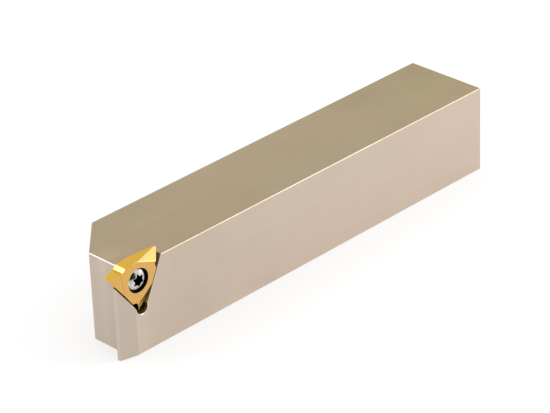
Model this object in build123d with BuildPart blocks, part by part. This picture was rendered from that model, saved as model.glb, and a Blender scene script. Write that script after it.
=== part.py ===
from build123d import *
import math
import os

os.makedirs("parts", exist_ok=True)

# External threading holder: a square steel shank whose front end carries a three-corner insert
# standing on its edge. +X runs from the cutting tip to the rear, -Y is the side that the insert
# is screwed to, +Z is up, and the origin is the middle of the base. Millimetres and degrees.

# ---------------------------------------------------------------- shank
shank_length = 170.0        # front face to rear face
shank_width = 32.0          # side to side
shank_height = 32.0         # base to top
corner_relief = 14.1        # 45 degree cut on the far front corner
edge_break = 0.2            # chamfer on the long edges and on the rear and front edges

# ---------------------------------------------------------------- insert
inscribed_circle = 13.4     # touches the three sides
insert_thickness = 4.8      # across the two faces
insert_tilt = 5.2           # turn of the insert about its screw, rake side rising to the rear
tip_radius = 12.6           # insert centre to each cutting tip
tip_overhang = 7.0          # cutting tip in front of the front face
profile_angle = 55.0        # included angle of the thread profile
nose_radius = 0.25          # rounding of the profile's nose
flank_clearance = 3.5       # lean of the nose line off the square to the insert's side
rake_angle = 9.0            # fall of the chip pocket's floor below the insert's side
pocket_run = 5.2            # tip to the foot of the chip pocket's end wall
pocket_wall_angle = 45.0    # rise of that end wall
pocket_foot_radius = 0.6    # rounding at its foot
edge_hone = 0.18            # rounding of the insert's face outlines

# ---------------------------------------------------------------- screw
thread_diameter = 5.0       # outside diameter of the screw's thread
screw_reach = 8.6           # thread below the pocket floor
head_clearance = 0.3        # head's edge to the wide end of the insert's cone
head_crown = 0.3            # middle of the domed head above the insert's face
head_land = 0.22            # straight edge between the dome and the head's cone
head_rim = 0.15             # rounding of the head's outer edge
seat_cone_angle = 60.0      # included angle of the countersink and of the head
recess_outer = 4.45         # across the lobes of the drive recess
recess_inner = 3.2          # across the hollows between them
recess_hollow_radius = 0.95
recess_lobe_radius = 0.28
recess_depth = 2.2          # below the insert's face
recess_turn = 35.0          # angle of one lobe from the insert's long direction
recess_point = 0.3          # height of the cone at the bottom of the recess
point_chamfer = 0.6         # end of the thread
lobe_count = 6

# ---------------------------------------------------------------- screw hole in the insert
mouth_diameter = 8.6        # at the insert's face
mouth_depth = 0.45          # rounded mouth, down to the cone
seat_diameter = 8.0         # cone's wide end
shank_clearance = 0.3       # insert's bore around the thread
bore_break = 0.25           # chamfer where the bore leaves the far face

# ---------------------------------------------------------------- pocket and blade
wall_gap = 0.47             # insert's rear side to the pocket's rear wall
seat_step = 0.3             # gap to the outer part of the seat under the insert
seat_step_depth = 2.4       # outer part of the seat, measured from the holder's side
relief_radius = 2.3         # round relief in the pocket's corner
relief_shift = 0.1          # its centre from the lower tip, towards the rear wall
tip_clearance = 0.1         # lower tip to the bottom of the relief
pocket_corner_radius = 2.0  # pocket's own corner, inside the relief
relief_extra_depth = 0.8    # relief below the pocket floor
pocket_rim = 0.25           # chamfer round the pocket's mouth
blade_half_angle = 14.5     # each face of the blade to the holder's side
blade_overhang = 4.05       # blade's nose in front of the front face
blade_nose_radius = 0.95
blade_root_radius = 1.2     # where the blade meets the front face
thread_clearance = 0.03     # tapped hole around the thread
tapped_extra_depth = 3.0    # hole below the screw's end
thread_mouth = 0.4          # chamfer at the tapped hole's mouth
drill_point_angle = 118.0

# ---------------------------------------------------------------- places that follow from them
rear_x = (shank_length + tip_overhang) / 2
tip_x = -rear_x
front_x = tip_x + tip_overhang
near_y = -shank_width / 2
far_y = shank_width / 2
reach = 4 * inscribed_circle            # longer than anything cut at the head

side_distance = inscribed_circle / 2
corner_angle = 150.0                    # upper front corner, seen on the insert's own face
tip_angle = math.radians(corner_angle + insert_tilt)
insert_x = tip_x - tip_radius * math.cos(tip_angle)
insert_z = shank_height - tip_radius * math.sin(tip_angle)


def side_plane(turn):
    """The holder's near side seen from -Y, centred on the insert, with x turned up by an angle."""
    along = Vector(1, 0, 0).rotate(Axis.Y, -turn)
    return Plane(origin=(insert_x, near_y, insert_z), x_dir=along, z_dir=(0, -1, 0))


holder_side = side_plane(0)
insert_face = side_plane(insert_tilt)   # x runs to the rear along the insert's upper side
# A section through the screw: x is the radius and y runs out of the face, so depths are negative.
screw_section = Plane(origin=holder_side.origin, x_dir=(0, 0, 1), z_dir=(1, 0, 0))
screw_axis = Axis(holder_side.origin, (0, 1, 0))

# Blade: a narrow V in plan, centred on the insert's thickness, with a rounded nose.
blade_slope = math.tan(math.radians(blade_half_angle))
blade_sharp_extra = blade_nose_radius * (1 / math.sin(math.radians(blade_half_angle)) - 1)
blade_y = near_y + insert_thickness / 2
blade_apex_x = front_x - blade_overhang - blade_sharp_extra
blade_near_x = blade_apex_x + (blade_y - near_y) / blade_slope
blade_root_y = blade_y + (front_x - blade_apex_x) * blade_slope

# Pocket: two walls at 60 degrees that follow the insert's lower front side and its rear side.
seat_distance = side_distance
wall_distance = side_distance + wall_gap
pocket_apex = Vector(wall_gap / math.sqrt(3), -(seat_distance + wall_distance))
relief_centre = Vector(relief_shift, relief_radius - tip_radius - tip_clearance)

# Insert corner: where the flanks would meet without the nose rounding, and the pocket's slopes.
profile_slope = math.tan(math.radians(profile_angle / 2))
sharp_extra = nose_radius * (1 / math.sin(math.radians(profile_angle / 2)) - 1)
rake_slope = math.tan(math.radians(rake_angle))
wall_slope = math.tan(math.radians(pocket_wall_angle))

# Screw seat: the insert's cone and the head's cone are the same surface.
seat_slope = math.tan(math.radians(seat_cone_angle / 2))
bore_radius = thread_diameter / 2 + shank_clearance
cone_depth = mouth_depth + (seat_diameter / 2 - bore_radius) / seat_slope
head_radius = seat_diameter / 2 - head_clearance
head_cone_depth = mouth_depth + head_clearance / seat_slope
head_edge_depth = head_cone_depth - head_land
neck_depth = mouth_depth + (seat_diameter - thread_diameter) / 2 / seat_slope
screw_end = insert_thickness + screw_reach


# ---------------------------------------------------------------- holder body
with BuildPart() as holder_body:
    # Plan of the bar: far front corner cut back at 45 degrees, blade standing out of the front.
    with BuildSketch(Plane.XY) as plan:
        with BuildLine():
            Polyline(
                (rear_x, near_y),
                (rear_x, far_y),
                (front_x + corner_relief, far_y),
                (front_x, far_y - corner_relief),
                (front_x, blade_root_y),
                (blade_apex_x, blade_y),
                (blade_near_x, near_y),
                close=True,
            )
        make_face()
        fillet(plan.vertices().sort_by(Axis.X)[0], blade_nose_radius)
        fillet(plan.vertices().sort_by_distance((front_x, blade_root_y))[0], blade_root_radius)
    extrude(amount=shank_height)
    rims = holder_body.faces().filter_by(Axis.Z).edges()
    rear_corners = holder_body.edges().filter_by(Axis.Z).group_by(Axis.X)[-1]
    chamfer(rims + rear_corners, edge_break)

    # Pocket, open to the side, the top and the front. The outer part of its seat is stepped down.
    for depth, step in ((insert_thickness, 0), (seat_step_depth, seat_step)):
        corner = pocket_apex - Vector(2 * step / math.sqrt(3), 0).rotate(Axis.Z, 60)
        with BuildSketch(insert_face) as pocket:
            with BuildLine():
                Polyline(
                    corner,
                    corner + Vector(reach, 0).rotate(Axis.Z, 120),
                    corner + Vector(0, reach * math.sqrt(3)),
                    corner + Vector(reach, 0).rotate(Axis.Z, 60),
                    close=True,
                )
            make_face()
            fillet(pocket.vertices().sort_by(Axis.Y)[0], pocket_corner_radius)
        extrude(amount=-depth, mode=Mode.SUBTRACT)

    # Round relief in the pocket's corner, deeper than the floor, then the mouth's chamfer.
    with BuildSketch(insert_face):
        with Locations(relief_centre):
            Circle(relief_radius)
    extrude(amount=-insert_thickness - relief_extra_depth, mode=Mode.SUBTRACT)
    near_side = holder_body.faces().filter_by(Axis.Y).sort_by(Axis.Y)[0]
    pocket_mouth = near_side.edges().filter_by(Axis.X, reverse=True).filter_by(Axis.Z, reverse=True)
    chamfer(pocket_mouth, pocket_rim)

    # Tapped hole for the screw, with a drill point at its end.
    tap_radius = thread_diameter / 2 + thread_clearance
    tap_end = screw_end + tapped_extra_depth
    point_length = tap_radius / math.tan(math.radians(drill_point_angle / 2))
    with BuildSketch(screw_section):
        with BuildLine():
            Polyline(
                (0, -insert_thickness),
                (tap_radius + thread_mouth, -insert_thickness),
                (tap_radius, -insert_thickness - thread_mouth),
                (tap_radius, -tap_end),
                (0, -tap_end - point_length),
                close=True,
            )
        make_face()
    revolve(axis=screw_axis, mode=Mode.SUBTRACT)

holder_body.part.label = "holder_body"

# ---------------------------------------------------------------- threading insert
with BuildPart() as threading_insert:
    with BuildSketch(insert_face):
        with BuildLine():
            Polyline([Vector(inscribed_circle, 0).rotate(Axis.Z, a) for a in (30, 150, 270)], close=True)
        make_face()
    extrude(amount=-insert_thickness)

    for turn in (0, 120, 240):
        corner_face = side_plane(insert_tilt + turn)
        tip = Vector(tip_radius, 0).rotate(Axis.Z, corner_angle)

        # Thread profile: the corner is ground to a V with a rounded nose along the nose line.
        inward = Vector(1, 0).rotate(Axis.Z, flank_clearance)
        nose_line = Vector(0, 1).rotate(Axis.Z, flank_clearance)
        profile_plane = Plane(
            origin=corner_face.from_local_coords(tip - Vector(0, 0, insert_thickness / 2)),
            x_dir=corner_face.x_dir * inward.X + corner_face.y_dir * inward.Y,
            z_dir=corner_face.x_dir * nose_line.X + corner_face.y_dir * nose_line.Y,
        )
        half_width = insert_thickness
        with BuildSketch(profile_plane) as flanks:
            with BuildLine():
                Polyline(
                    (half_width / profile_slope - sharp_extra, half_width),
                    (-sharp_extra, 0),
                    (half_width / profile_slope - sharp_extra, -half_width),
                    (-half_width, -half_width),
                    (-half_width, half_width),
                    close=True,
                )
            make_face()
            fillet(flanks.vertices().sort_by_distance((-sharp_extra, 0))[0], nose_radius)
        extrude(amount=reach, both=True, mode=Mode.SUBTRACT)

        # Chip pocket: its floor falls away from the tip, then an end wall rises to the side.
        floor_step = Vector(pocket_run, -pocket_run * rake_slope)
        wall_step = Vector(side_distance / wall_slope, side_distance)
        with BuildSketch(corner_face) as chip_pocket:
            with BuildLine():
                Polyline(
                    tip - floor_step,
                    tip + floor_step,
                    tip + floor_step + wall_step,
                    tip - floor_step + Vector(0, side_distance),
                    close=True,
                )
            make_face()
            fillet(chip_pocket.vertices().sort_by(Axis.Y)[0], pocket_foot_radius)
        extrude(amount=reach, both=True, mode=Mode.SUBTRACT)

    # Screw hole: rounded mouth, cone for the head, plain bore, small chamfer at the far face.
    with BuildSketch(screw_section):
        with BuildLine():
            mouth = TangentArc(
                (seat_diameter / 2, -mouth_depth),
                (mouth_diameter / 2, 0),
                tangent=(seat_slope, 1),
            )
            Polyline(
                mouth @ 1,
                (mouth_diameter / 2, mouth_depth),
                (0, mouth_depth),
                (0, -insert_thickness - bore_break),
                (bore_radius + 2 * bore_break, -insert_thickness - bore_break),
                (bore_radius, -insert_thickness + bore_break),
                (bore_radius, -cone_depth),
                mouth @ 0,
            )
        make_face()
    revolve(axis=screw_axis, mode=Mode.SUBTRACT)

    faces_across = threading_insert.faces().filter_by(Axis.Y).sort_by(Axis.Y)
    fillet(faces_across[0].outer_wire().edges() + faces_across[-1].outer_wire().edges(), edge_hone)

threading_insert.part.label = "threading_insert"

# ---------------------------------------------------------------- clamp screw
with BuildPart() as clamp_screw:
    # Half section: domed head with a rounded rim, cone, threaded stem with a chamfered end.
    with BuildSketch(screw_section) as stem:
        with BuildLine():
            dome = TangentArc((0, head_crown), (head_radius, -head_edge_depth), tangent=(1, 0))
            Polyline(
                dome @ 1,
                (head_radius, -head_cone_depth),
                (thread_diameter / 2, -neck_depth),
                (thread_diameter / 2, -screw_end + point_chamfer),
                (thread_diameter / 2 - point_chamfer, -screw_end),
                (0, -screw_end),
                dome @ 0,
            )
        make_face()
        fillet(stem.vertices().sort_by_distance((head_radius, -head_edge_depth))[0], head_rim)
    revolve(axis=screw_axis)

    # Six-lobe recess from above the dome, with a shallow cone at its bottom.
    with BuildSketch(holder_side.offset(head_crown)) as recess:
        Circle(recess_outer / 2)
        with PolarLocations(recess_inner / 2 + recess_hollow_radius, lobe_count, recess_turn + 30):
            Circle(recess_hollow_radius, mode=Mode.SUBTRACT)
        fillet(recess.vertices(), recess_lobe_radius)
    extrude(amount=-head_crown - recess_depth, mode=Mode.SUBTRACT)
    with Locations(holder_side.offset(-recess_depth - recess_point / 2)):
        Cone(recess_point, recess_inner / 2, recess_point, mode=Mode.SUBTRACT)

clamp_screw.part.label = "clamp_screw"

for piece in (holder_body, threading_insert, clamp_screw):
    export_step(piece.part, f"parts/{piece.part.label}.step")
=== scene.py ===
import math

import bpy
import numpy as np
from bpy.props import FloatProperty, FloatVectorProperty, IntProperty, PointerProperty
from bpy.types import Operator, Panel, PropertyGroup
from mathutils import Euler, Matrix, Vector


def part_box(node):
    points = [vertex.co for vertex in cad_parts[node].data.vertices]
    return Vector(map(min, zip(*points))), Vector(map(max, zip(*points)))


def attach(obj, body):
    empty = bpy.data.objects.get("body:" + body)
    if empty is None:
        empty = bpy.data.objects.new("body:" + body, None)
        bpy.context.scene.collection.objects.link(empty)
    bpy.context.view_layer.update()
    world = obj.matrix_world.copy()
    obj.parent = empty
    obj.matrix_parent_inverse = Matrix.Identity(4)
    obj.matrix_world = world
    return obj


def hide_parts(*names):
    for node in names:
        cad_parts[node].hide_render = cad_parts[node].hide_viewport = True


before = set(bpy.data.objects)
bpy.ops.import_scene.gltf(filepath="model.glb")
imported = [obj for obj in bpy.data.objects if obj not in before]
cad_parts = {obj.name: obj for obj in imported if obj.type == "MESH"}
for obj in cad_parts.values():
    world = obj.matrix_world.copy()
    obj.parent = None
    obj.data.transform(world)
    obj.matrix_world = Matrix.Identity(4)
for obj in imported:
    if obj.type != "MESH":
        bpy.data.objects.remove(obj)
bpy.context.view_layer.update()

bl_info = {
    "name": "Threading tool holder",
    "version": (1, 0, 0),
    "blender": (4, 5, 0),
    "location": "3D View > Sidebar > Tool holder",
    "description": "Finishes and fine pieces of a square shank threading tool holder",
    "category": "Object",
}

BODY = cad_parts["holder_body"]
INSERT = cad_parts["threading_insert"]
BODY_LOW, BODY_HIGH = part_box("holder_body")
SCREW_LOW, SCREW_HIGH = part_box("clamp_screw")
MM = 0.001
# The body's box starts at the blade's nose, which stands out in front of the front face.
BLADE_OVERHANG = 4.05 * MM
FRONT_X = BODY_LOW.x + BLADE_OVERHANG
NEAR_Y = BODY_LOW.y
TOP_Z = BODY_HIGH.z
# The screw's axis also goes through the middle of the insert and of its pocket.
AXIS = Vector(((SCREW_LOW.x + SCREW_HIGH.x) / 2, NEAR_Y, (SCREW_LOW.z + SCREW_HIGH.z) / 2))
SENSOR_WIDTH = 36.0


# ------------------------------------------------------------------ sizes and colours
def colour(name, description, default):
    return FloatVectorProperty(
        name=name, description=description, subtype="COLOR", size=3, min=0, max=1, default=default)


def length(name, description, default):
    """A length property; the default is given in millimetres."""
    return FloatProperty(
        name=name, description=description, subtype="DISTANCE", unit="LENGTH",
        min=0, precision=5, default=default * MM)


def angle(name, description, default):
    """An angle property; the default is given in degrees."""
    return FloatProperty(
        name=name, description=description, subtype="ANGLE", unit="ROTATION",
        default=math.radians(default))


class BodyFinish(PropertyGroup):
    side_tone: colour("Side tone", "Nickel tone of the sides", (0.63, 0.52, 0.43))
    # Painted shade: front and blade take a darker, greyer copy of the side tone.
    front_shade_tone: colour("Front tone", "Greyer nickel tone of front and blade", (0.55, 0.47, 0.39))
    # Painted shade: the top takes a darker, olive copy of the side tone, yellower towards the rear.
    top_shade_tone: colour("Top tone", "Olive tone of the ground top", (0.44, 0.35, 0.225))
    top_rear_shade_tone: colour("Top tone at the rear", "Yellower rear of the top", (0.42, 0.335, 0.195))
    edge_tone: colour("Edge tone", "Bright metal where the edges are broken", (0.58, 0.48, 0.365))
    # Painted highlight: a pale tone on the front's upper edge, reaching a little past its chamfer.
    front_edge_highlight_tone: colour("Front edge tone", "Wear on the front's upper edge", (0.86, 0.78, 0.68))
    # Painted highlight: a pale line on the chamfer round the pocket's mouth.
    rim_highlight_tone: colour("Rim tone", "Bright chamfer round the pocket's mouth", (0.72, 0.66, 0.58))
    # Painted shade: the pocket's walls take a darker olive tone where shade falls.
    pocket_shade_tone: colour("Pocket tone", "Dark, oiled steel of the walls", (0.43, 0.36, 0.17))
    # Painted shade: the round relief takes a near-black olive tone where shade falls.
    relief_shade_tone: colour("Relief tone", "Round relief in the pocket's corner", (0.14, 0.13, 0.05))
    edge_break: length("Edge break", "Chamfer of the long edges", 0.2)
    blade_crease: length("Blade crease", "Front face to where the blade's near face starts", 2.4)
    grind_depth: length("Grinding depth", "Depth of the grinding lines", 0.02)
    pocket_tilt: angle("Pocket tilt", "Turn of the pocket about the screw", 5.2)
    pocket_wall: length("Pocket wall", "Screw's axis to the pocket's rear wall", 7.17)
    pocket_seat: length("Pocket seat", "Screw's axis to the pocket's seat", 7.0)
    pocket_depth: length("Pocket depth", "Near side to the pocket's floor", 4.8)
    pocket_rim: length("Pocket rim", "Chamfer round the pocket's mouth", 0.25)
    relief_radius: length("Relief radius", "Radius of the round relief", 2.3)
    relief_depth: length("Relief depth", "Near side to the relief's bottom", 5.6)
    relief_shift: length("Relief shift", "Relief's centre towards the pocket's rear wall", 0.1)
    relief_drop: length("Relief drop", "Relief's centre below the screw's axis", 10.4)


class InsertFinish(PropertyGroup):
    coating: colour("Coating", "Gold colour of the hard coating", (0.70, 0.385, 0.045))
    coating_warm: colour("Warm coating", "Redder places in the coating", (0.73, 0.37, 0.055))
    # Painted reflection: a deeper, more saturated gold on the upper side.
    flank_reflection_tone: colour("Flank", "Deeper gold of the ground upper side", (0.74, 0.42, 0.012))
    # Painted highlight: paler gold on the honed rear outlines; the next tone is painted shade,
    # deeper gold on those in front.
    hone_highlight_tone: colour("Honed edge", "Paler gold of the rear outlines", (0.80, 0.52, 0.16))
    hone_shade: colour("Honed edge in front", "Deeper gold there", (0.60, 0.29, 0.03))
    # Painted highlight: paler gold on the lower tip's flank.
    tip_highlight_tone: colour("Lower tip", "Paler gold of the unused lower tip", (0.98, 0.68, 0.16))
    # Painted shade: near black on the countersink round the screw's head.
    seat_shade_tone: colour("Screw seat", "Dark, oiled countersink", (0.004, 0.003, 0.002))
    seat_radius: length("Seat radius", "Outside of the dark countersink", 4.25)
    tilt: angle("Tilt", "Turn of the insert about the screw", 5.2)
    tip_radius: length("Tip radius", "Screw's axis to each cutting tip", 12.6)
    thickness: length("Thickness", "Across the insert's faces", 4.8)
    chip_wall: length("Chip wall", "Screw's axis to the chip pocket's end wall", 7.9)
    hone: length("Hone", "Rounding of the face outlines", 0.18)
    clearance: angle("Clearance", "Lean of each nose line", 3.5)
    profile: angle("Profile", "Included angle of the thread profile", 55.0)


class ScrewFinish(PropertyGroup):
    head_tone: colour("Head tone", "Bare steel of the head", (0.72, 0.71, 0.64))
    stain_tone: colour("Stain tone", "Darker places on the head", (0.42, 0.42, 0.36))
    # Painted shade: near black inside the drive recess.
    recess_shade_tone: colour("Recess tone", "Black inside of the drive recess", (0.004, 0.004, 0.004))
    head_radius: length("Head radius", "Outside of the head", 3.7)
    head_crown: length("Head crown", "Middle of the dome above the insert's face", 0.3)
    head_edge: length("Head edge", "Dome's edge below the insert's face", 0.75)
    head_rim: length("Head rim", "Rounding of the head's outer edge", 0.15)
    head_cone: length("Head cone", "Wide end of the cone below the insert's face", 0.97)
    neck_depth: length("Neck depth", "Narrow end of the cone below the insert's face", 3.048)
    recess_outer: length("Recess outer", "Across the lobes of the drive recess", 4.45)
    recess_inner: length("Recess inner", "Across the hollows between the lobes", 3.2)
    hollow_radius: length("Hollow radius", "Radius of each hollow", 0.95)
    lobe_radius: length("Lobe radius", "Rounding beside each lobe", 0.28)
    recess_depth: length("Recess depth", "Recess below the insert's face", 2.2)
    recess_point: length("Recess point", "Cone at the bottom of the recess", 0.3)
    recess_lip: length("Recess lip", "Rounding of the recess's mouth", 0.09)
    recess_turn: angle("Recess turn", "Turn of the first lobe", 35.0)
    thread_radius: length("Thread radius", "Outside of the thread", 2.5)
    thread_pitch: length("Thread pitch", "Rise of the thread in one turn", 0.8)
    thread_height: length("Thread height", "Crest of the thread to its root", 0.49)
    thread_start: length("Thread start", "First turn below the insert's face", 5.2)
    screw_end: length("Screw end", "End of the screw below the insert's face", 13.4)
    point_chamfer: length("Point chamfer", "Chamfer at the end of the thread", 0.6)
    columns: IntProperty(
        name="Columns", description="Grid columns round the screw", min=72, max=360, default=288)


class StageSettings(PropertyGroup):
    floor_tone: colour("Floor tone", "Colour of the floor", (0.45, 0.45, 0.45))
    floor_glow: FloatProperty(
        name="Floor glow", description="White added where the floor is seen", min=0, default=0.58)
    ambient: FloatProperty(
        name="Ambient", description="Plain light from all round", min=0, default=0.95)
    camera_place: FloatVectorProperty(
        name="Camera place", description="Where the camera stands",
        subtype="TRANSLATION", unit="LENGTH", size=3, precision=5,
        default=(-0.563388, -0.570389, 0.454063))
    camera_turn: FloatVectorProperty(
        name="Camera turn", description="Which way the camera points",
        subtype="EULER", unit="ROTATION", size=3,
        default=tuple(math.radians(a) for a in (61.30446, 1.94851, -45.73380)))
    camera_lens: FloatProperty(
        name="Camera lens", description="Focal length in millimetres for the stage's sensor width",
        min=1, default=176.888)


# ------------------------------------------------------------------ clamp screw
LOBE_STEP = math.radians(60)
ROWS_A_TURN = 12
# Shares of half the thread's pitch: the flat crest, and the flank down to the root.
THREAD_CREST = 0.125
THREAD_FLANK = 0.625
SHARP_FROM = math.radians(38)


def recess_edge(turn, looks):
    """Distance from the screw's axis to the recess's outline at each angle.

    Measured from the nearest hollow's middle, the outline is the hollow's arc (centre distance
    times the cosine, less the root of the hollow's radius squared less the offset squared), then
    the small arc beside the lobe (the same with plus), then the plain outer circle.
    """
    outer = looks.recess_outer / 2
    centre = looks.recess_inner / 2 + looks.hollow_radius
    round_centre = outer - looks.lobe_radius
    joined = looks.hollow_radius + looks.lobe_radius
    round_angle = math.acos(
        (round_centre**2 + centre**2 - joined**2) / (2 * round_centre * centre))
    share = looks.hollow_radius / joined
    meet_x = centre + (round_centre * math.cos(round_angle) - centre) * share
    meet_y = round_centre * math.sin(round_angle) * share
    meet_angle = math.atan2(meet_y, meet_x)

    from_lobe = turn - looks.recess_turn
    away = np.abs(np.mod(from_lobe, LOBE_STEP) - LOBE_STEP / 2)
    hollow_root = np.maximum(looks.hollow_radius**2 - (centre * np.sin(away))**2, 0)
    hollow = centre * np.cos(away) - np.sqrt(hollow_root)
    aside = round_centre * np.sin(away - round_angle)
    round_root = np.maximum(looks.lobe_radius**2 - aside**2, 0)
    beside = round_centre * np.cos(away - round_angle) + np.sqrt(round_root)
    return np.select([away < meet_angle, away < round_angle], [hollow, beside], outer)


def screw_grid(looks):
    """Radius and depth of the screw's surface on a grid: rows run along it, columns round it.

    The rows go from the recess's middle up its wall, over the dome (a circle about a point on
    the axis), round the rim, down the cone and along the thread to the end. In the thread the
    radius is the outside less the thread's height times a trapezoid wave of the depth in
    pitches less the turn, so that the crest climbs one pitch a turn.
    """
    turn = np.linspace(0, 2 * math.pi, looks.columns, endpoint=False)[None, :]
    sag = looks.head_crown + looks.head_edge
    ball = (looks.head_radius**2 + sag**2) / (2 * sag)

    def dome(radius):
        return ball - looks.head_crown - np.sqrt(ball**2 - radius**2)

    def steps(count, first=0.0, last=1.0):
        return np.linspace(first, last, count)[:, None]

    edge = recess_edge(turn, looks)
    lip = looks.recess_lip
    core = looks.recess_inner / 2
    rows = []

    def add(radius, depth):
        rows.append(np.broadcast_arrays(radius, depth, turn)[:2])

    # Floor of the recess: a shallow cone, then flat out to the wall with a rounded foot.
    out = steps(10, 0.1) * (edge - lip)
    add(out, looks.recess_depth + looks.recess_point * np.clip(1 - out / core, 0, 1))
    bend = steps(4, 0.25) * math.pi / 2
    add(edge - lip + lip * np.sin(bend), looks.recess_depth - lip + lip * np.cos(bend))
    # Wall of the recess, and its rounded lip up to the dome.
    mouth = dome(edge + lip) + lip
    rise = steps(8, 0.1)
    add(edge, (looks.recess_depth - lip) * (1 - rise) + mouth * rise)
    bend = steps(5, 0.2) * math.pi / 2
    add(edge + lip * (1 - np.cos(bend)), mouth - lip * np.sin(bend))
    # Dome, out to where the rim's rounding starts.
    rim_centre = looks.head_radius - looks.head_rim
    rim_depth = ball - looks.head_crown - math.sqrt((ball - looks.head_rim)**2 - rim_centre**2)
    rim_start = math.asin(rim_centre / (ball - looks.head_rim))
    share = steps(22, 0.04)
    out = (edge + lip) * (1 - share) + ball * math.sin(rim_start) * share
    add(out, dome(out))
    bend = rim_start + (math.pi / 2 - rim_start) * steps(6, 0.16)
    add(rim_centre + looks.head_rim * np.sin(bend), rim_depth - looks.head_rim * np.cos(bend))
    # Land, cone and plain neck.
    add(looks.head_radius, looks.head_cone)
    fall = steps(10, 0.1)
    add(looks.head_radius * (1 - fall) + looks.thread_radius * fall,
        looks.head_cone * (1 - fall) + looks.neck_depth * fall)
    fall = steps(6, 0.15, 0.95)
    add(looks.thread_radius, looks.neck_depth * (1 - fall) + looks.thread_start * fall)
    # Thread, fading in over one turn and cut by the point's chamfer.
    threaded = looks.screw_end - looks.thread_start
    depth = looks.thread_start + threaded * steps(int(threaded / looks.thread_pitch * ROWS_A_TURN))
    wave = np.abs(2 * np.mod(depth / looks.thread_pitch - turn / (2 * math.pi), 1) - 1)
    groove = np.clip((1 - THREAD_CREST - wave) / THREAD_FLANK, 0, 1)
    fade = np.clip((depth - looks.thread_start) / looks.thread_pitch, 0, 1)
    point = looks.thread_radius - (depth - looks.screw_end + looks.point_chamfer)
    add(np.minimum(looks.thread_radius - looks.thread_height * groove * fade, point), depth)
    # Flat end.
    share = steps(5, 0.2, 0.9)
    add(rows[-1][0][-1:] * (1 - share), looks.screw_end)

    radius = np.concatenate([row[0] for row in rows])
    depth = np.concatenate([row[1] for row in rows])
    return turn, radius, depth


def make_screw(looks):
    """The screw's grid as one closed mesh, with a point at each end of its axis."""
    turn, radius, depth = screw_grid(looks)
    count, columns = radius.shape
    places = np.stack(
        [AXIS.x + radius * np.cos(turn), AXIS.y + depth, AXIS.z + radius * np.sin(turn)], axis=-1)
    floor = (AXIS.x, AXIS.y + looks.recess_depth + looks.recess_point, AXIS.z)
    end = (AXIS.x, AXIS.y + looks.screw_end, AXIS.z)
    places = np.concatenate([places.reshape(-1, 3), [floor, end]])

    index = np.arange(count * columns).reshape(count, columns)
    beside = np.roll(index, -1, axis=1)
    quads = np.stack([index[:-1], index[1:], beside[1:], beside[:-1]], axis=-1).reshape(-1, 4)
    first = np.full(columns, count * columns)
    last = first + 1
    starts = np.stack([first, index[0], beside[0]], axis=-1)
    ends = np.stack([last, beside[-1], index[-1]], axis=-1)

    mesh = bpy.data.meshes.new("clamp_screw_threaded")
    mesh.from_pydata(places.tolist(), [], quads.tolist() + starts.tolist() + ends.tolist())
    mesh.shade_smooth()
    mesh.set_sharp_from_angle(angle=SHARP_FROM)
    piece = bpy.data.objects.new("clamp_screw_threaded", mesh)
    bpy.context.scene.collection.objects.link(piece)
    return piece


# ------------------------------------------------------------------ material helpers
NOISE_LOW, NOISE_HIGH = 0.3, 0.7
SLACK = 0.03 * MM
RIM_REACH = 0.3 * MM
# Noise scales, in features a metre; three numbers are for x, y and z.
GRIND_BROAD = (4, 420, 420)
GRIND_FINE = (14, 3000, 3000)
GRIND_UPRIGHT = (700, 700, 12)
STREAKS = (150, 150, 3)
STEEL_CLOUDS = (12, 30, 30)
MOTTLE = 38.0
PEEL = 5200.0
GOLD_GRAIN = 1500.0
GOLD_CLOUDS = 420.0
SCREW_GRAIN = 2600.0
SCREW_STAINS = 800.0
RING_STEP = 0.21 * MM
PEEL_DEPTH = 0.001 * MM
RING_DEPTH = 0.003 * MM


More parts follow.
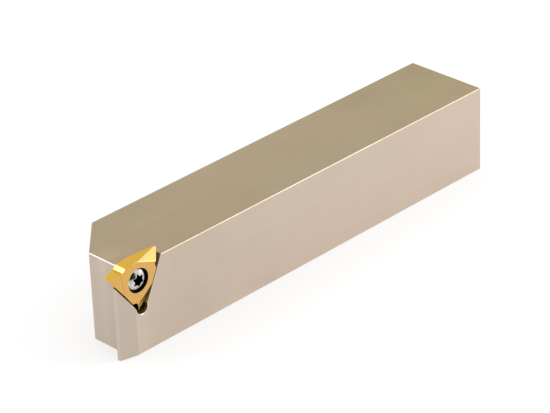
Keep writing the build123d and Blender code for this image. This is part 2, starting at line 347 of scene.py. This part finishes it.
class Recipe:
    """A material's node tree, written as short calls that return output sockets."""

    def __init__(self, name):
        self.material = bpy.data.materials.new(name)
        self.material.use_nodes = True
        self.tree = self.material.node_tree
        self.tree.nodes.clear()
        self.output = self.tree.nodes.new("ShaderNodeOutputMaterial")

    def plug(self, socket, value):
        if isinstance(value, bpy.types.NodeSocket):
            self.tree.links.new(value, socket)
        elif socket.type == "RGBA" and len(value) == 3:
            socket.default_value = (*value, 1.0)
        else:
            socket.default_value = value

    def node(self, kind, inputs, **settings):
        made = self.tree.nodes.new(kind)
        for key, value in settings.items():
            setattr(made, key, value)
        for key, value in inputs.items():
            self.plug(made.inputs[key], value)
        return made

    def place(self, centre=(0, 0, 0)):
        """Object coordinates, measured from a centre."""
        place = self.node("ShaderNodeTexCoord", {}).outputs["Object"]
        return self.vector("SUBTRACT", place, centre).outputs[0]

    def vector(self, what, a, b=(0, 0, 0)):
        return self.node("ShaderNodeVectorMath", {0: a, 1: b}, operation=what)

    def axes(self, vector):
        split = self.node("ShaderNodeSeparateXYZ", {0: vector})
        return split.outputs[0], split.outputs[1], split.outputs[2]

    def along(self, vector, direction):
        """How far a place lies in one direction."""
        return self.vector("DOT_PRODUCT", vector, direction).outputs["Value"]

    def from_line(self, vector):
        """Distance from the line through the centre that runs from side to side."""
        flat = self.stretch(vector, (1, 0, 1))
        return self.vector("LENGTH", flat).outputs["Value"]

    def math(self, what, a, b=0.0):
        return self.node("ShaderNodeMath", {0: a, 1: b}, operation=what).outputs[0]

    def ramp(self, value, low, high, to_low=0.0, to_high=1.0):
        return self.node(
            "ShaderNodeMapRange",
            {"Value": value, "From Min": low, "From Max": high,
             "To Min": to_low, "To Max": to_high},
            interpolation_type="SMOOTHSTEP").outputs["Result"]

    def spread(self, noise, to_low, to_high):
        """A noise's middle values, eased over the given range."""
        return self.ramp(noise, NOISE_LOW, NOISE_HIGH, to_low, to_high)

    def within(self, value, limit, reach=2 * SLACK):
        """One up to just past a limit, then quickly zero."""
        return self.ramp(value, limit + reach, limit + reach - SLACK)

    def both(self, *shares):
        """One where every share is one."""
        result = shares[0]
        for share in shares[1:]:
            result = self.math("MULTIPLY", result, share)
        return result

    def stretch(self, vector, scale):
        return self.vector("MULTIPLY", vector, scale).outputs[0]

    def noise(self, vector, scale, detail=3.0, roughness=0.5):
        return self.node(
            "ShaderNodeTexNoise",
            {"Vector": vector, "Scale": scale, "Detail": detail, "Roughness": roughness}).outputs[0]

    def mix(self, share, a, b, how="MIX"):
        made = self.tree.nodes.new("ShaderNodeMix")
        made.data_type = "RGBA"
        made.blend_type = how
        self.plug(made.inputs[0], share)
        self.plug(made.inputs[6], a)
        self.plug(made.inputs[7], b)
        return made.outputs[2]

    def shade(self, share, tone, shadow):
        return self.mix(share, tone, shadow, "SOFT_LIGHT")

    def bump(self, height, distance):
        return self.node("ShaderNodeBump", {"Height": height, "Distance": distance}).outputs[0]

    def metal(self, tone, roughness, normal, **more):
        inputs = {"Base Color": tone, "Metallic": 1.0, "Roughness": roughness, "Normal": normal}
        inputs.update(more)
        shader = self.node("ShaderNodeBsdfPrincipled", inputs)
        self.tree.links.new(shader.outputs[0], self.output.inputs[0])
        return self.material


def facing(turn):
    """A direction in the plane of the holder's side, at an angle from the rear."""
    return (math.cos(turn), 0.0, math.sin(turn))


def ground_lines(m, place, front):
    """Grinding lines along the bar; on the front and the blade they run up and down."""
    broad = m.noise(m.stretch(place, GRIND_BROAD), 1.0, 2.0)
    fine = m.noise(m.stretch(place, GRIND_FINE), 1.0, 2.0)
    upright = m.noise(m.stretch(place, GRIND_UPRIGHT), 1.0, 3.0)
    lines = m.math("ADD", m.math("MULTIPLY", broad, 0.35), m.math("MULTIPLY", fine, 0.65))
    return m.mix(front, lines, upright)


def broken_edges(m, looks, x, y, z):
    """The long top edges, and the front's top edge where a highlight is painted.

    On the chamfer between two faces, the sum of the distances outwards is near its largest.
    """
    start = looks.edge_break + 0.04 * MM
    end = looks.edge_break + 0.01 * MM
    # Widens the front edge's painted highlight a little past its chamfer.
    more = 0.06 * MM
    long_sum = TOP_Z - NEAR_Y
    front_sum = TOP_Z - FRONT_X
    long_edges = m.ramp(
        m.math("ADD", m.math("ABSOLUTE", y), z), long_sum - start, long_sum - end)
    front_edge_highlight = m.ramp(
        m.math("SUBTRACT", z, x), front_sum - start - more, front_sum - end - more)
    return long_edges, front_edge_highlight


def pocket_places(m, looks, x):
    """The pocket between its rear wall and its seat, the round relief, and the rim round both;
    shade is painted in the pocket and relief, a highlight on the rim.
    """
    from_axis = m.place(AXIS)
    depth = m.axes(from_axis)[1]
    rear = m.along(from_axis, facing(looks.pocket_tilt - LOBE_STEP / 2))
    seat = m.along(from_axis, facing(looks.pocket_tilt + math.pi + LOBE_STEP / 2))
    down = Vector(facing(looks.pocket_tilt - math.pi / 2))
    back = Vector(facing(looks.pocket_tilt))
    hole_centre = AXIS + down * looks.relief_drop + back * looks.relief_shift
    from_hole = m.from_line(m.place(hole_centre))

    below_rim = m.ramp(depth, looks.pocket_rim, looks.pocket_rim + SLACK)
    pocket = m.both(
        m.within(rear, looks.pocket_wall), m.within(seat, looks.pocket_seat),
        below_rim, m.within(depth, looks.pocket_depth))
    hole = m.both(
        m.within(from_hole, looks.relief_radius),
        below_rim, m.within(depth, looks.relief_depth))
    round_both = m.math(
        "MAXIMUM",
        m.within(from_hole, looks.relief_radius, RIM_REACH),
        m.both(
            m.within(rear, looks.pocket_wall, RIM_REACH),
            m.within(seat, looks.pocket_seat, RIM_REACH)))
    rim = m.both(
        m.ramp(depth, looks.pocket_rim + SLACK, looks.pocket_rim),
        m.ramp(depth, 0.0, SLACK),
        m.ramp(x, FRONT_X + 150 * MM, FRONT_X + 50 * MM),
        round_both)
    return pocket, hole, rim


def ground_steel(looks):
    """Nickel-toned ground steel: grinding lines, soft mottling, bright long edges, painted shade on
    the top, front, pocket and relief, painted highlights on the front edge and the pocket's rim.
    """
    m = Recipe("holder_ground_steel")
    place = m.place()
    x, y, z = m.axes(place)
    crease = FRONT_X + looks.blade_crease
    front = m.math(
        "MAXIMUM",
        m.ramp(x, FRONT_X + 0.2 * MM, FRONT_X + 0.05 * MM),
        m.both(
            m.ramp(x, crease + 0.1 * MM, crease),
            m.ramp(y, NEAR_Y + 5 * MM, NEAR_Y + 4 * MM)))
    head = m.ramp(x, FRONT_X + 15 * MM, FRONT_X)
    top = m.ramp(z, TOP_Z - 0.1 * MM, TOP_Z - 0.02 * MM)
    lines = ground_lines(m, place, front)
    streak = m.noise(m.stretch(place, STREAKS), 1.0, 2.0)
    mottle = m.noise(place, MOTTLE, 4.0, 0.6)
    cloud = m.noise(m.stretch(place, STEEL_CLOUDS), 1.0, 3.0)
    long_edges, front_edge_highlight = broken_edges(m, looks, x, y, z)
    pocket, hole, rim = pocket_places(m, looks, x)

    # Painted shade: the front and the blade take a darker, greyer tone than the sides.
    tone = m.mix(front, looks.side_tone[:], looks.front_shade_tone[:])
    # Painted shade on the top: the darker olive tone, yellower towards the rear.
    rearward = m.ramp(x, 0.0, BODY_HIGH.x)
    tone = m.mix(top, tone, m.mix(rearward, looks.top_shade_tone[:], looks.top_rear_shade_tone[:]))
    tone = m.shade(m.ramp(cloud, 0.35, 0.65, 0.0, 0.10), tone, (0.9, 0.72, 0.66))
    tone = m.shade(m.spread(mottle, 0.0, 0.12), tone, (0.3, 0.32, 0.26))
    tone = m.shade(m.both(m.spread(streak, 0.0, 0.25), head), tone, (0.8, 0.8, 0.8))
    tone = m.shade(m.spread(lines, 0.0, 0.08), tone, (0.2, 0.18, 0.15))
    # Edge tone on the long edges; painted highlights on the front edge and the pocket's rim;
    # painted shade in the pocket and the relief.
    for share, colouring in (
            (long_edges, looks.edge_tone), (front_edge_highlight, looks.front_edge_highlight_tone),
            (rim, looks.rim_highlight_tone), (pocket, looks.pocket_shade_tone), (hole, looks.relief_shade_tone)):
        tone = m.mix(share, tone, colouring[:])
    roughness = m.math("ADD", m.spread(mottle, 0.30, 0.36), m.math("MULTIPLY", lines, 0.06))
    roughness = m.math("ADD", roughness, m.math("MULTIPLY", pocket, 0.25))
    return m.metal(tone, roughness, m.bump(lines, looks.grind_depth))


def insert_places(m, looks, place):
    """Parts of the insert where light and shade are painted: upper side, lower tip's flank, honed
    outlines.

    The upper side is behind the near face and outside the rear corner's near flank. On that flank
    the depth and the way in from the nose line, times the half profile's slope, add up to half the
    thickness. The end wall of the front corner's chip pocket keeps its clear coat.
    """
    depth = m.axes(place)[1]
    inward = looks.tilt + looks.clearance - 2 * LOBE_STEP
    tip_in = looks.tip_radius * math.cos(looks.tilt + LOBE_STEP / 2 - inward)
    way_in = m.math("SUBTRACT", m.along(place, facing(inward)), tip_in)
    past_flank = m.math("ADD", depth, m.math("MULTIPLY", way_in, math.tan(looks.profile / 2)))
    half = looks.thickness / 2
    upper = m.both(
        m.ramp(m.along(place, facing(looks.tilt + math.pi / 2)), 5.1 * MM, 5.3 * MM),
        m.ramp(past_flank, half + 0.05 * MM, half + 0.15 * MM),
        m.ramp(depth, 0.15 * MM, 0.3 * MM))
    toward_wall = m.along(place, facing(looks.tilt + 3 * math.pi / 4))
    off_wall = m.math(
        "MAXIMUM",
        m.ramp(toward_wall, looks.chip_wall - 0.2 * MM, looks.chip_wall - 0.3 * MM),
        m.ramp(toward_wall, looks.chip_wall + 0.1 * MM, looks.chip_wall + 0.2 * MM))
    hone = m.both(
        m.ramp(depth, 0.01 * MM, 0.04 * MM),
        m.ramp(depth, looks.hone, looks.hone - SLACK),
        m.ramp(m.from_line(place), 4.7 * MM, 4.8 * MM))
    outward = m.axes(m.node("ShaderNodeNewGeometry", {}).outputs["Normal"])[1]
    lower_tip = m.both(
        m.ramp(m.along(place, facing(looks.tilt - math.pi / 2)), 8.4 * MM, 8.8 * MM),
        m.ramp(depth, 0.02 * MM, 0.1 * MM),
        m.ramp(outward, -0.2, -0.4))
    return upper, m.both(upper, off_wall), hone, lower_tip


def gold_coating(looks):
    """Gold hard coating: fine orange peel, faint colour play, painted shade on the screw seat,
    painted reflection and highlights on the upper side, lower tip and outlines.
    """
    m = Recipe("insert_gold_coating")
    place = m.place(AXIS)
    peel = m.noise(place, PEEL, 3.0)
    grain = m.noise(place, GOLD_GRAIN, 2.0)
    cloud = m.noise(place, GOLD_CLOUDS, 3.0)
    seat = m.ramp(m.from_line(place), looks.seat_radius + 0.07 * MM, looks.seat_radius - 0.03 * MM)
    upper, ground, hone, lower_tip = insert_places(m, looks, place)

    tone = m.mix(m.spread(cloud, 0.0, 0.6), looks.coating[:], looks.coating_warm[:])
    tone = m.shade(m.spread(grain, 0.0, 0.15), tone, (0.25, 0.25, 0.25))
    # Painted reflection on the upper side.
    tone = m.mix(upper, tone, looks.flank_reflection_tone[:])
    # Painted highlight on the honed rear outlines, painted shade on those in front.
    rearward = m.ramp(m.along(place, facing(looks.tilt)), -2.0 * MM, 0.0)
    tone = m.mix(hone, tone, m.mix(rearward, looks.hone_shade[:], looks.hone_highlight_tone[:]))
    # Painted shade on the countersink round the screw's head.
    tone = m.mix(seat, tone, looks.seat_shade_tone[:])
    # Painted highlight on the lower tip's flank, with extra roughness.
    tone = m.mix(lower_tip, tone, looks.tip_highlight_tone[:])
    roughness = m.math("ADD", m.spread(cloud, 0.19, 0.25), m.math("MULTIPLY", seat, 0.3))
    roughness = m.math("ADD", roughness, m.math("MULTIPLY", lower_tip, 0.45))
    bare = m.math("MAXIMUM", seat, m.math("MULTIPLY", ground, 0.7))
    clear = m.math("MULTIPLY", m.math("SUBTRACT", 1.0, bare), 0.8)
    sheen = {"Coat Weight": clear, "Coat Roughness": 0.12, "Coat IOR": 1.8}
    return m.metal(tone, roughness, m.bump(peel, PEEL_DEPTH), **sheen)


def screw_steel(looks):
    """Turned bare steel: fine rings on the dome, stains, painted shade inside the recess."""
    m = Recipe("screw_steel")
    place = m.place(AXIS)
    depth = m.axes(place)[1]
    radius = m.from_line(place)
    grain = m.noise(place, SCREW_GRAIN, 3.0)
    cloud = m.noise(place, SCREW_STAINS, 3.0)
    rings = m.math("SINE", m.math("MULTIPLY", radius, 2 * math.pi / RING_STEP))
    uneven = m.math("ADD", m.math("MULTIPLY", rings, 0.25), grain)
    inside = m.both(
        m.ramp(radius, looks.recess_outer / 2 + 0.05 * MM, looks.recess_outer / 2),
        m.ramp(depth, 0.12 * MM, 0.35 * MM))
    tone = m.mix(m.ramp(cloud, 0.35, 0.65, 0.0, 0.8), looks.head_tone[:], looks.stain_tone[:])
    # Painted shade inside the drive recess.
    tone = m.mix(inside, tone, looks.recess_shade_tone[:])
    return m.metal(tone, m.spread(grain, 0.12, 0.20), m.bump(uneven, RING_DEPTH))


def wear(piece, material):
    """The CAD node keeps its mesh and takes the material in every slot."""
    if not piece.data.materials:
        piece.data.materials.append(material)
    for index in range(len(piece.data.materials)):
        piece.data.materials[index] = material


# ------------------------------------------------------------------ stage
# Corners in metres. The card gives the screw's dome something dark to reflect.
FLOOR = [(-6, -6, 0), (6, -6, 0), (6, 6, 0), (-6, 6, 0)]
DARK_CARD = [
    (-0.15, -0.14, 0.001), (-0.036, -0.14, 0.001), (-0.036, -0.14, 0.077), (-0.15, -0.14, 0.077)]
# Name, place, aim, size in metres and power in watts.
LAMPS = (
    ("lamp_left", (-0.44, 0.364, 0.335), (-0.08, -0.01, 0.03), (0.11, 0.11), 0.24),
    ("lamp_right", (0.40, -0.34, 0.45), (0, 0, 0.02), (0.35, 0.35), 0.8),
    ("lamp_low", (0.36, -0.265, 0.055), (-0.07, -0.016, 0.03), (0.22, 0.10), 0.095),
)
NEAR_CLIP, FAR_CLIP = 0.01, 20.0


# ------------------------------------------------------------------ operators
class TOOLHOLDER_OT_finish_body(Operator):
    """Give the holder body its ground, nickel-toned steel"""
    bl_idname = "toolholder.finish_body"
    bl_label = "Finish the holder body"

    def execute(self, context):
        wear(BODY, ground_steel(context.scene.toolholder_body))
        return {"FINISHED"}


class TOOLHOLDER_OT_coat_insert(Operator):
    """Give the insert its gold hard coating"""
    bl_idname = "toolholder.coat_insert"
    bl_label = "Coat the insert"

    def execute(self, context):
        wear(INSERT, gold_coating(context.scene.toolholder_insert))
        return {"FINISHED"}


class TOOLHOLDER_OT_make_screw(Operator):
    """Make the clamp screw with its dome, six-lobe recess and thread"""
    bl_idname = "toolholder.make_screw"
    bl_label = "Make the clamp screw"

    def execute(self, context):
        looks = context.scene.toolholder_screw
        piece = make_screw(looks)
        piece.data.materials.append(screw_steel(looks))
        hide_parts("clamp_screw")
        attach(piece, "root")
        return {"FINISHED"}


class TOOLHOLDER_OT_set_stage(Operator):
    """Put in the pale floor, the plain studio light and the camera"""
    bl_idname = "toolholder.set_stage"
    bl_label = "Set the stage"

    def lamp(self, name, place, aim, size, power):
        """A rectangular area lamp that faces its aim point."""
        data = bpy.data.lights.new(name, "AREA")
        data.shape = "RECTANGLE"
        data.size, data.size_y = size
        data.energy = power
        lamp = bpy.data.objects.new(name, data)
        lamp.location = place
        lamp.rotation_euler = (Vector(aim) - Vector(place)).to_track_quat("-Z", "Y").to_euler()
        lamp.visible_camera = False
        bpy.context.scene.collection.objects.link(lamp)

    def plane(self, name, corners, material):
        """A flat four-cornered piece of the stage."""
        mesh = bpy.data.meshes.new(name)
        mesh.from_pydata(corners, [], [(0, 1, 2, 3)])
        mesh.materials.append(material)
        piece = bpy.data.objects.new(name, mesh)
        bpy.context.scene.collection.objects.link(piece)
        return piece

    def execute(self, context):
        looks = context.scene.toolholder_stage
        scene = context.scene
        scene.view_settings.view_transform = "Standard"

        m = Recipe("floor_white")
        paths = m.node("ShaderNodeLightPath", {})
        seen = m.math("MAXIMUM", paths.outputs["Is Camera Ray"], paths.outputs["Is Glossy Ray"])
        diffuse = m.node("ShaderNodeBsdfDiffuse", {"Color": looks.floor_tone[:]})
        glow = m.node(
            "ShaderNodeEmission",
            {"Color": (1, 1, 1), "Strength": m.math("MULTIPLY", seen, looks.floor_glow)})
        both = m.node("ShaderNodeAddShader", {0: diffuse.outputs[0], 1: glow.outputs[0]})
        m.tree.links.new(both.outputs[0], m.output.inputs[0])
        self.plane("floor", FLOOR, m.material)

        m = Recipe("dark_card")
        matt = m.node("ShaderNodeBsdfDiffuse", {"Color": (0.02, 0.02, 0.02)})
        m.tree.links.new(matt.outputs[0], m.output.inputs[0])
        card = self.plane("dark_card", DARK_CARD, m.material)
        card.visible_camera = False
        card.visible_diffuse = False
        card.visible_shadow = False

        world = bpy.data.worlds.new("studio")
        scene.world = world
        world.use_nodes = True
        tree = world.node_tree
        tree.nodes.clear()
        out = tree.nodes.new("ShaderNodeOutputWorld")
        path = tree.nodes.new("ShaderNodeLightPath")
        strength = tree.nodes.new("ShaderNodeMath")
        strength.operation = "MAXIMUM"
        strength.inputs[1].default_value = looks.ambient
        tree.links.new(path.outputs["Is Camera Ray"], strength.inputs[0])
        back = tree.nodes.new("ShaderNodeBackground")
        back.inputs["Color"].default_value = (1, 1, 1, 1)
        tree.links.new(strength.outputs[0], back.inputs["Strength"])
        tree.links.new(back.outputs[0], out.inputs[0])

        for name, place, aim, size, power in LAMPS:
            self.lamp(name, place, aim, size, power)

        data = bpy.data.cameras.new("camera")
        data.sensor_width = SENSOR_WIDTH
        data.lens = looks.camera_lens
        data.clip_start, data.clip_end = NEAR_CLIP, FAR_CLIP
        camera = bpy.data.objects.new("camera", data)
        camera.location = looks.camera_place
        camera.rotation_euler = Euler(looks.camera_turn, "XYZ")
        scene.collection.objects.link(camera)
        scene.camera = camera
        return {"FINISHED"}


class TOOLHOLDER_PT_sidebar(Panel):
    """Sizes, colours and steps of the tool holder"""
    bl_label = "Tool holder"
    bl_idname = "TOOLHOLDER_PT_sidebar"
    bl_space_type = "VIEW_3D"
    bl_region_type = "UI"
    bl_category = "Tool holder"

    def draw(self, context):
        for step, group in STEPS:
            box = self.layout.box()
            box.operator(step.bl_idname)
            looks = getattr(context.scene, group)
            for name in looks.__annotations__:
                box.prop(looks, name)


STEPS = (
    (TOOLHOLDER_OT_set_stage, "toolholder_stage"),
    (TOOLHOLDER_OT_finish_body, "toolholder_body"),
    (TOOLHOLDER_OT_coat_insert, "toolholder_insert"),
    (TOOLHOLDER_OT_make_screw, "toolholder_screw"),
)
GROUPS = (
    (StageSettings, "toolholder_stage"),
    (BodyFinish, "toolholder_body"),
    (InsertFinish, "toolholder_insert"),
    (ScrewFinish, "toolholder_screw"),
)


def register():
    for group, name in GROUPS:
        bpy.utils.register_class(group)
        setattr(bpy.types.Scene, name, PointerProperty(type=group))
    for step, group in STEPS:
        bpy.utils.register_class(step)
    bpy.utils.register_class(TOOLHOLDER_PT_sidebar)


def unregister():
    bpy.utils.unregister_class(TOOLHOLDER_PT_sidebar)
    for step, group in reversed(STEPS):
        bpy.utils.unregister_class(step)
    for group, name in reversed(GROUPS):
        delattr(bpy.types.Scene, name)
        bpy.utils.unregister_class(group)


def main():
    register()
    bpy.ops.toolholder.set_stage()
    bpy.ops.toolholder.finish_body()
    bpy.ops.toolholder.coat_insert()
    bpy.ops.toolholder.make_screw()


if __name__ == "__main__":
    main()
